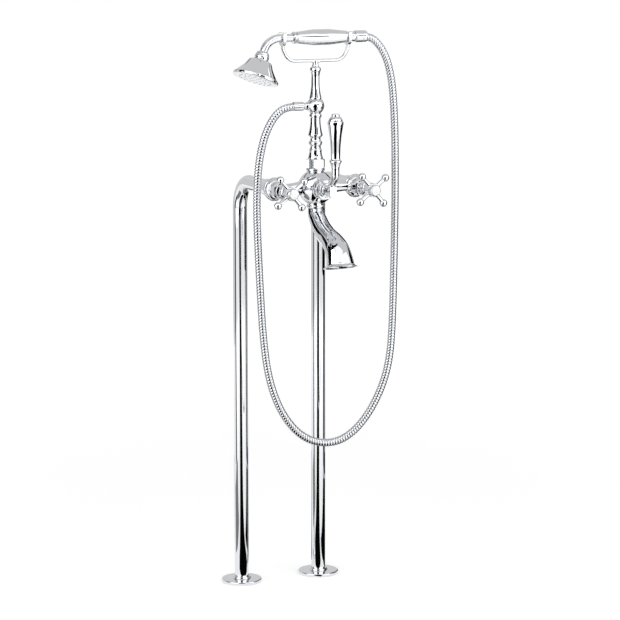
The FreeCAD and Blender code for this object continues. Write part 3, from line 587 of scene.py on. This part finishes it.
# The left hook holds the arm, the right one the thicker tail
piece("left_crutch", "filler", chrome, "left_cradle_hook", crutch(-HOOK_X, 7.2))
piece("right_crutch", "filler", chrome, "right_cradle_hook", crutch(HOOK_X, 9.0))
OUTLET = along(Vector((0, AXIS_Y, OUTLET_Z)), -RIGHT)
turned_piece("outlet_nipple", "filler", chrome, "hose_nipple",
             [(4, 13.5), (7.2, 13.5), (7.2, 15.6), (6.2, 18, 5.9, 21.6), (5.4, 22.4), (5.4, 27), (4, 27)], OUTLET)
turned_piece("outlet_hose_nut", "filler", chrome, "hose_nut",
             [(5.4, 23), (6.8, 23), (7.5, 23.3, 7.75, 24.4), (7.75, 40.2), (7.6, 40.9, 7.1, 41), (7.1, 27),
              (5.4, 27)], OUTLET)

# ---------------------------------------------------------------- hand shower
# It lies in the hooks rolled a little round its own axis, with the rose forward
HANDSET_AXIS = Vector((0, AXIS_Y, HANDSET_Z))
ALONG_HANDSET = along(HANDSET_AXIS, RIGHT)
ROLL = (Matrix.Translation(HANDSET_AXIS) @ Matrix.Rotation(math.radians(-8), 4, "X")
        @ Matrix.Translation(-HANDSET_AXIS))
ARM_R = 6.75
ARM_START = 30                  # from the middle to the arm's end inside the grip
ARM_STRAIGHT = 64.5             # from the middle to where the bend begins
ARM_BEND = 33.6                 # bend radius
ARM_TURN = math.radians(69.1)   # angle of the bend
ARM_TANGENT = ARM_BEND * math.tan(ARM_TURN / 2)
ROSE_NECK = 16                  # from the end of the bend to the rose
ROSE_GAP = 4                    # the arm ends this far before the rose, inside the nut
rose_way = Vector((-math.cos(ARM_TURN), 0, -math.sin(ARM_TURN)))
elbow = HANDSET_AXIS - RIGHT * (ARM_STRAIGHT + ARM_TANGENT)
rose_base = elbow + rose_way * (ARM_TANGENT + ROSE_NECK)
ROSE = ROLL @ along(rose_base, rose_way)
arm_corners = [HANDSET_AXIS - RIGHT * ARM_START, elbow, rose_base - rose_way * ROSE_GAP]
arm_line = [ROLL @ point for point in bent(arm_corners, ARM_BEND, 3.0)]
arm_side = ROLL.to_3x3() @ BACK
piece("bent_arm", "handset", chrome, "handset_arm",
      lambda shape: swept(shape, arm_line, ARM_R, arm_side, 64))
turned_piece("rose_union_nut", "handset", chrome, "rose_nut",
             [(ARM_R, -15), (7.3, -15), (9.8, -13.2, 11.3, -9), (12.1, -7.6, 12.3, -4.2), (12.3, -1),
              (12, -0.3, 11.2, 0), (ARM_R, 0)], ROSE)
turned_piece("rose_shell", "handset", chrome, "rose_bell",
             [(5, 0), (11, 0), (12.4, 0.6, 14, 1.2), (18.8, 2, 21.2, 5.2), (24.7, 12, 29.2, 18.2), (36.4, 27.4),
              (37.6, 28.5), (39.2, 29.6, 39.6, 31.4), (39.6, 33.2), (39.4, 34.2, 38.6, 34.6), (37, 34.6),
              (37, 30.8), (34.6, 28.8), (27.8, 20), (23, 13.8, 19.2, 6.4), (17.6, 4, 14, 3.4), (5, 3.2)], ROSE)
turned_piece("rose_plate", "handset", chrome, "rose_face",
             [(0, 32.6), (37, 32.6), (37, 34.6), (35.8, 35), (0, 35.4)], ROSE, 0.3)
turned_piece("grip_step_ring", "handset", chrome, "handset_step_ring",
             [(ARM_R, -43), (7.4, -43), (8.2, -42.4, 9.6, -41.8), (10.3, -39.8, 9.6, -37.6), (8.4, -36.9),
              (8.2, -35.8), (8.4, -35), (ARM_R, -35)], ALONG_HANDSET)
turned_piece("barrel_grip", "handset", chrome, "handset_grip",
             [(ARM_R, -35), (9.4, -35), (9.9, -34.7, 10, -33.8), (13.9, 8, 10.2, 53.6), (9.9, 54.5, 9.4, 54.8),
              (ARM_R, 54.8)], ALONG_HANDSET)
turned_piece("grip_tail", "handset", chrome, "handset_tail",
             [(4.5, 44), (ARM_R, 44), (ARM_R, 54.8), (9.4, 54.8), (9.9, 55.6, 9.4, 56.6), (8.5, 57), (8.5, 71),
              (8.1, 72), (6.6, 72), (6.6, 75), (4.5, 75)], ALONG_HANDSET)
turned_piece("cone_nut", "handset", chrome, "hose_cone_nut",
             [(6.6, 72), (9, 72), (9.9, 73, 10.2, 75), (10.2, 85.6), (9.9, 86), (7.1, 86), (7.1, 75), (6.6, 75)],
             ALONG_HANDSET)
turned_piece("end_ferrule", "handset", chrome, "hose_ferrule",
             [(7.1, 86), (9.6, 86), (10, 86.5), (10, 90), (9.6, 92.8, 8.4, 94.4), (7.1, 94.4)], ALONG_HANDSET)


# ---------------------------------------------------------------- geometry nodes
def tree_of(name, inputs):
    """Geometry node group with an input geometry, further named inputs and one output geometry."""
    tree = bpy.data.node_groups.new(name, "GeometryNodeTree")
    tree.interface.new_socket("Geometry", in_out="INPUT", socket_type="NodeSocketGeometry")
    for label, kind in inputs.items():
        tree.interface.new_socket(label, in_out="INPUT", socket_type=kind)
    tree.interface.new_socket("Geometry", in_out="OUTPUT", socket_type="NodeSocketGeometry")
    return tree, add_node(tree, "NodeGroupInput"), add_node(tree, "NodeGroupOutput")


def grown(name, start_mesh, tree, values):
    """Mesh that a node tree makes from a starting mesh with the given values of its inputs."""
    holder = in_scene(name + "_source", start_mesh)
    modifier = holder.modifiers.new("nodes", "NODES")
    modifier.node_group = tree
    sockets = {s.name: s.identifier for s in tree.interface.items_tree if s.in_out == "INPUT"}
    for label, value in values.items():
        modifier[sockets[label]] = value
    bpy.context.view_layer.update()
    made = bpy.data.meshes.new_from_object(holder.evaluated_get(bpy.context.evaluated_depsgraph_get()))
    bpy.data.objects.remove(holder)
    made.name = name
    return made


def finish_tree(tree, shape, given, result):
    """Ends a tree: its instances are made real and it gets the material of the input."""
    realised = add_node(tree, "GeometryNodeRealizeInstances", links={"Geometry": shape})
    coated = add_node(tree, "GeometryNodeSetMaterial",
                      links={"Geometry": (realised, "Geometry"), "Material": (given, "Material")})
    tree.links.new(coated.outputs["Geometry"], result.inputs["Geometry"])


# ---------------------------------------------------------------- hose
# It hangs in the plane of the mixer's axis, from the outlet to the hand shower's ferrule, through these X, Z
HOSE_ROUTE = [
    (-28, OUTLET_Z), (-54, OUTLET_Z), (-72.5, 857.5), (-86.5, 837), (-97, 811), (-105.6, 768), (-108.8, 705),
    (-106.4, 632), (-102.7, 557), (-98.2, 480), (-89.2, 409), (-71.3, 354.5), (-45, 313.5), (-15.5, 289.5),
    (16.5, 280), (47, 282.5), (76, 299.5), (101, 327), (120.5, 360), (134.8, 396), (142.6, 436), (146, 490),
    (147.8, 560), (149.4, 645), (150.2, 728), (149.5, 808), (147, 865), (143.5, 903), (137.5, 933),
    (129.5, 954.5), (117.5, 972.5), (101, HANDSET_Z), (76, HANDSET_Z)]
route = bpy.data.curves.new("hose_route", "CURVE")
route.dimensions = "3D"
spline = route.splines.new("NURBS")
spline.points.add(len(HOSE_ROUTE) - 1)
for point, (x, z) in zip(spline.points, HOSE_ROUTE):
    point.co = (x * MM, AXIS_Y * MM, z * MM, 1)
spline.order_u = 3
spline.use_endpoint_u = True
route.resolution_u = 24
route_object = in_scene("hose_route", route)
hose_line = bpy.data.meshes.new_from_object(route_object)
hose_path = [tuple(v.co) for v in hose_line.vertices]
hose_length = sum(math.dist(a, b) for a, b in zip(hose_path, hose_path[1:]))
bpy.data.objects.remove(route_object)

# The cover is one strip wound in a helix. A grid is laid round the line: one way it runs turn after turn, the
# other way across one rib, and the last row of a turn meets the first row of the next.
tree, given, result = tree_of("wound_cover", {
    "Turns": "NodeSocketFloat", "Pitch": "NodeSocketFloat", "Radius": "NodeSocketFloat", "Depth": "NodeSocketFloat",
    "Crown": "NodeSocketFloat", "Steps Round": "NodeSocketInt", "Steps Across": "NodeSocketInt",
    "Material": "NodeSocketMaterial"})
line = add_node(tree, "GeometryNodeMeshToCurve", links={"Mesh": (given, "Geometry")})
columns = math_node(tree, "MULTIPLY_ADD", (given, "Turns"), (given, "Steps Round"), 1.0)
rows = math_node(tree, "ADD", (given, "Steps Across"), 1.0)
grid = add_node(tree, "GeometryNodeMeshGrid", {"Size Y": 1.0},
                {"Size X": (given, "Turns"), "Vertices X": columns, "Vertices Y": rows})
spot = add_node(tree, "GeometryNodeInputPosition")
parts_of = add_node(tree, "ShaderNodeSeparateXYZ", links={"Vector": (spot, "Position")})
turn = math_node(tree, "ADD", (parts_of, "X"), math_node(tree, "MULTIPLY", (given, "Turns"), 0.5))
across = math_node(tree, "ADD", (parts_of, "Y"), 0.5)
travel = math_node(tree, "MULTIPLY", math_node(tree, "ADD", turn, math_node(tree, "SUBTRACT", across, 1.0)),
                   (given, "Pitch"))
sample = add_node(tree, "GeometryNodeSampleCurve", {"mode": "LENGTH", "use_all_curves": False},
                  {"Curves": (line, "Curve"), "Length": travel})
off_middle = math_node(tree, "ABSOLUTE", math_node(tree, "MULTIPLY_ADD", across, 2.0, -1.0))
sunk = math_node(tree, "MULTIPLY", (given, "Depth"), math_node(tree, "POWER", off_middle, (given, "Crown")))
radius = math_node(tree, "SUBTRACT", (given, "Radius"), sunk)
angle = math_node(tree, "MULTIPLY", turn, 2 * math.pi)
side = add_node(tree, "ShaderNodeVectorMath", {"operation": "CROSS_PRODUCT"},
                {0: (sample, "Tangent"), 1: (sample, "Normal")})
along_normal = math_node(tree, "MULTIPLY", radius, math_node(tree, "COSINE", angle))
along_side = math_node(tree, "MULTIPLY", radius, math_node(tree, "SINE", angle))
out_normal = add_node(tree, "ShaderNodeVectorMath", {"operation": "SCALE"},
                      {0: (sample, "Normal"), "Scale": along_normal})
out_side = add_node(tree, "ShaderNodeVectorMath", {"operation": "SCALE"}, {0: (side, 0), "Scale": along_side})
outward = add_node(tree, "ShaderNodeVectorMath", {"operation": "ADD"}, {0: (out_normal, 0), 1: (out_side, 0)})
place = add_node(tree, "ShaderNodeVectorMath", {"operation": "ADD"}, {0: (sample, "Position"), 1: (outward, 0)})
laid = add_node(tree, "GeometryNodeSetPosition", links={"Geometry": (grid, "Mesh"), "Position": (place, 0)})
welded = add_node(tree, "GeometryNodeMergeByDistance", {"Distance": 0.02 * MM}, {"Geometry": (laid, "Geometry")})
finish_tree(tree, (welded, "Geometry"), given, result)
hose_mesh = grown("wound_hose", hose_line, tree, {
    "Turns": float(round(hose_length / (HOSE_PITCH * MM)) + 1), "Pitch": HOSE_PITCH * MM, "Radius": HOSE_R * MM,
    "Depth": RIB_DEPTH * MM, "Crown": RIB_CROWN, "Steps Round": 28, "Steps Across": 8, "Material": strip_chrome})
shape = bmesh.new()
shape.from_mesh(hose_mesh)
bmesh.ops.dissolve_degenerate(shape, dist=TINY, edges=shape.edges)
bmesh.ops.holes_fill(shape, edges=[e for e in shape.edges if e.is_boundary])
bmesh.ops.recalc_face_normals(shape, faces=shape.faces)
shape.to_mesh(hose_mesh)
shape.free()
shade(hose_mesh, 50)
hose = in_scene("wound_hose", hose_mesh)
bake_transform(hose)
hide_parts("shower_hose")

# ---------------------------------------------------------------- rose nozzles
NOZZLE_FOOT = 34.9      # height of the nozzles' feet, just below the plate's crowned surface
tree, given, result = tree_of("nozzle_rings", {
    "Spacing": "NodeSocketFloat", "Foot": "NodeSocketFloat", "Tip": "NodeSocketFloat", "Height": "NodeSocketFloat",
    "Material": "NodeSocketMaterial"})
spots = add_node(tree, "GeometryNodeJoinGeometry", links={"Geometry": (given, "Geometry")})
for ring_number in (1, 2, 3):
    circle = add_node(tree, "GeometryNodeMeshCircle", {"Vertices": 6 * ring_number},
                      {"Radius": math_node(tree, "MULTIPLY", (given, "Spacing"), float(ring_number))})
    tree.links.new(circle.outputs["Mesh"], spots.inputs["Geometry"])
nib = add_node(tree, "GeometryNodeMeshCone", {"Vertices": 16, "Side Segments": 3},
               {"Radius Bottom": (given, "Foot"), "Radius Top": (given, "Tip"), "Depth": (given, "Height")})
planted = add_node(tree, "GeometryNodeInstanceOnPoints",
                   links={"Points": (spots, "Geometry"), "Instance": (nib, "Mesh")})
finish_tree(tree, (planted, "Instances"), given, result)
middle_point = bpy.data.meshes.new("rose_middle")
middle_point.from_pydata([(0, 0, 0)], [], [])
nozzle_mesh = grown("rose_nozzles", middle_point, tree, {
    "Spacing": 9 * MM, "Foot": 1.5 * MM, "Tip": 1.0 * MM, "Height": 0.6 * MM, "Material": silicone})
on_plate = ROSE @ Matrix.Translation((0, 0, NOZZLE_FOOT))
nozzle_mesh.transform(Matrix.Scale(MM, 4) @ on_plate @ Matrix.Scale(1 / MM, 4))
shade(nozzle_mesh, 40)
nozzles = in_scene("rose_nozzles", nozzle_mesh)
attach(nozzles, "handset")

# ---------------------------------------------------------------- camera
# From here on, sizes are metres. The camera stands left of the object's front, a little above its top.
CAMERA_SPOT = Vector((-1.6777, -4.1610, 1.2207))
yaw, pitch, tilt = math.radians(22.656), math.radians(9.225), math.radians(-0.034)
camera_data = bpy.data.cameras.new("studio_camera")
camera_data.lens = 147.46
camera_data.sensor_width = 36.0
camera = in_scene("studio_camera", camera_data)
heading = Vector((math.sin(yaw) * math.cos(pitch), math.cos(yaw) * math.cos(pitch), -math.sin(pitch)))
camera.matrix_world = (Matrix.Translation(CAMERA_SPOT) @ heading.to_track_quat("-Z", "Y").to_matrix().to_4x4()
                       @ Matrix.Rotation(tilt, 4, "Z"))
bpy.context.scene.camera = camera
bpy.context.scene.view_settings.view_transform = "Standard"


# ---------------------------------------------------------------- studio
WHITE = (1, 1, 1, 1)
TARGET = Vector((0, -0.14, 0.6))
TO_CAMERA = math.atan2(CAMERA_SPOT.y - TARGET.y, CAMERA_SPOT.x - TARGET.x)
FLOOR_HALF = 14             # half the side of the square floor
FLOOR_CARD_Z = 0.002        # cards on the floor lie just above it
REAR_CARD_Z = 0.003         # the one that crosses two others lies above them
WALL_TOP = 2.6
DARK_CEILING_Z = 1.40
WHITE_CEILING_Z = 2.75
GREY_CEILING_Z = 2.8
GREY_CEILING_R = 3.9


def plain_matt(name, colour):
    """Matt surface without any gloss."""
    material = bpy.data.materials.new(name)
    material.use_nodes = True
    shader = material.node_tree.nodes["Principled BSDF"]
    shader.inputs["Base Color"].default_value = linear(colour)
    shader.inputs["Roughness"].default_value = 1.0
    shader.inputs["Specular IOR Level"].default_value = 0.0
    return material, shader


def glowing(name, strength):
    """Even grey or white that no lamp changes, for cards."""
    material, shader = plain_matt(name, "#000000")
    shader.inputs["Emission Color"].default_value = WHITE
    shader.inputs["Emission Strength"].default_value = strength
    return material


def seen_by(tree, *kinds):
    """One for rays of the given kinds, as (node, output), and zero for all others."""
    rays = add_node(tree, "ShaderNodeLightPath")
    seen = (rays, kinds[0])
    for kind in kinds[1:]:
        seen = math_node(tree, "MAXIMUM", seen, (rays, kind))
    return seen


def sheet(name, corners, material):
    """Flat sheet of the studio, which isn't part of the object."""
    mesh = bpy.data.meshes.new(name)
    mesh.from_pydata(corners, [], [tuple(range(len(corners)))])
    mesh.materials.append(material)
    made = in_scene(name, mesh)
    return made


# White floor: it is lifted to white for the camera and for what metal mirrors, a little near the object, so that
# its shadow stays, and more further off, where the lamps don't reach.
white_floor, shader = plain_matt("matt_white_floor", "#EDEDED")
tree = white_floor.node_tree
place = add_node(tree, "ShaderNodeTexCoord")
distance = add_node(tree, "ShaderNodeVectorMath", {"operation": "LENGTH"}, {0: (place, "Object")})
lift = add_node(tree, "ShaderNodeMapRange",
                {"From Min": 0.5, "From Max": 3.0, "To Min": 0.385, "To Max": 0.62,
                 "interpolation_type": "SMOOTHSTEP"}, {"Value": (distance, "Value")})
strength, output = math_node(tree, "MULTIPLY", seen_by(tree, "Is Camera Ray", "Is Glossy Ray"), (lift, "Result"))
shader.inputs["Emission Color"].default_value = WHITE
tree.links.new(strength.outputs[output], shader.inputs["Emission Strength"])
sheet("studio_floor", [(-FLOOR_HALF, -FLOOR_HALF, 0), (FLOOR_HALF, -FLOOR_HALF, 0),
                       (FLOOR_HALF, FLOOR_HALF, 0), (-FLOOR_HALF, FLOOR_HALF, 0)], white_floor)

# White backdrop for the camera and for what metal mirrors, and half of that as light
world = bpy.data.worlds.new("white_studio")
bpy.context.scene.world = world
world.use_nodes = True
tree = world.node_tree
level = add_node(tree, "ShaderNodeMapRange", {"To Min": 0.5, "To Max": 1.0},
                 {"Value": seen_by(tree, "Is Camera Ray", "Is Glossy Ray", "Is Transmission Ray")})
backdrop = tree.nodes["Background"]
backdrop.inputs["Color"].default_value = WHITE
tree.links.new(level.outputs["Result"], backdrop.inputs["Strength"])


def toward(azimuth, distance, height):
    """Point round the object, at an azimuth in degrees from the camera's direction, positive to its right."""
    turn = TO_CAMERA + math.radians(azimuth)
    return Vector((TARGET.x + distance * math.cos(turn), TARGET.y + distance * math.sin(turn), height))


def before(forward, sideways, height):
    """Point that lies some way from the object towards the camera and some way to the camera's right."""
    return toward(math.degrees(math.atan2(sideways, forward)), math.hypot(forward, sideways), height)


black_card = plain_matt("black_studio_card", "#050505")[0]
grey_card = glowing("grey_studio_card", 0.72)
dusk_card = glowing("dark_grey_studio_card", 0.24)
white_panel = glowing("white_studio_panel", 1.3)


def card(name, corners, finish):
    """Flat card that only reflections show."""
    made = sheet(name, corners, finish)
    made.visible_camera = made.visible_diffuse = made.visible_shadow = False


def upright_card(name, finish, azimuth, distance, width, low, high):
    """Card that stands between two heights and faces the object."""
    half = math.degrees(math.atan(width / 2 / distance))
    reach = math.hypot(distance, width / 2)
    card(name, [toward(azimuth - half, reach, low), toward(azimuth + half, reach, low),
                toward(azimuth + half, reach, high), toward(azimuth - half, reach, high)], finish)


# Cards round the object give the chrome its dark lines and its grey edges, as the walls and the gaps between the
# softboxes of a studio do. Upright ones: finish, azimuth, distance, width, lower and upper edge.
for row in (
        ("front_black_card", black_card, 1, 3.5, 2.1, 0.0, 2.75),
        ("left_black_card", black_card, -86, 1.1, 0.36, 0.0, WALL_TOP),
        ("left_rear_black_card", black_card, -110, 1.5, 0.92, 0.72, 1.35),
        ("left_rear_dark_bar", dusk_card, -136, 1.5, 1.0, 1.6, 2.0),
        ("right_black_card", black_card, 118, 0.9, 0.62, 0.0, 1.06),
        ("right_high_black_card", black_card, 37, 2.2, 1.06, 1.24, 1.88),
        ("right_low_black_card", black_card, 94, 0.9, 0.50, 0.42, 0.72),
        ("right_rear_black_card", black_card, 156, 1.2, 0.50, 0.0, 1.3),
        ("left_grey_wall", grey_card, -118, 2.6, 3.0, 0.0, WALL_TOP),
        ("back_grey_wall", grey_card, 180, 2.6, 3.0, 0.0, WALL_TOP),
        ("right_grey_wall", grey_card, 134, 2.6, 2.4, 0.0, WALL_TOP),
        ("front_white_panel", white_panel, 0, 2.42, 2.3, 1.95, 2.79)):
    upright_card(*row)

# One more stands close in front of the upper parts: its corners sideways and in height
card("near_black_card", [before(0.75, sideways, height) for sideways, height in (
    (-0.40, 0.56), (0.36, 0.56), (0.36, 0.92), (0.22, 1.03), (-0.22, 1.03), (-0.40, 0.92))], black_card)

# Level cards, each corner by its way towards the camera and sideways
for name, finish, height, outline in (
        ("dark_floor", black_card, FLOOR_CARD_Z, (
            (0.06, -0.22), (0.75, -0.38), (2.2, -0.70), (3.5, -1.0), (3.5, 1.0), (2.2, 0.70), (0.75, 0.30),
            (0.0, 0.12), (-0.08, 0.08), (-0.12, 0.02), (-0.10, -0.04), (-0.05, -0.12), (-0.01, -0.18))),
        ("dark_ceiling", black_card, DARK_CEILING_Z, (
            (0.285, -1.29), (0.446, -0.757), (0.43, -0.36), (0.42, -0.18), (0.30, 0.02), (0.17, 0.05),
            (0.25, -0.08), (0.289, -0.174), (0.304, -0.404), (0.199, -0.595))),
        ("overhead_white_panel", white_panel, WHITE_CEILING_Z, (
            (0.8, -1.2), (2.45, -1.2), (2.45, 1.2), (0.8, 1.2)))):
    card(name, [before(*corner, height) for corner in outline], finish)

# Level cards, each corner by azimuth and distance
for name, finish, height, outline in (
        ("dark_floor_left", dusk_card, FLOOR_CARD_Z, (
            (-62, 1.1), (-58, 0.5), (-84, 0.36), (-112, 0.36), (-112, 0.9), (-86, 1.1))),
        ("dark_floor_right", black_card, FLOOR_CARD_Z, ((99, 0.9), (137, 0.9), (150, 0.2), (80, 0.2))),
        ("dark_floor_rear", black_card, REAR_CARD_Z, ((132, 0.2), (136, 1.2), (166, 1.2), (180, 0.2))),
        ("dark_floor_behind", dusk_card, FLOOR_CARD_Z, (
            (166, 0.25), (166, 1.2), (185, 1.2), (210, 1.2), (210, 0.25))),
        ("grey_ceiling", grey_card, GREY_CEILING_Z, [(azimuth, GREY_CEILING_R) for azimuth in range(0, 360, 15)])):
    card(name, [toward(*corner, height) for corner in outline], finish)

# Two softboxes at the camera's sides light the object and the floor
for name, azimuth in (("left_softbox", -52), ("right_softbox", 52)):
    lamp_data = bpy.data.lights.new(name, "AREA")
    lamp_data.shape = "RECTANGLE"
    lamp_data.size, lamp_data.size_y = 3.0, 2.6
    lamp_data.energy = 34.0
    lamp = in_scene(name, lamp_data)
    spot = toward(azimuth, distance=2.4, height=1.5)
    lamp.matrix_world = Matrix.Translation(spot) @ (TARGET - spot).to_track_quat("-Z", "Y").to_matrix().to_4x4()
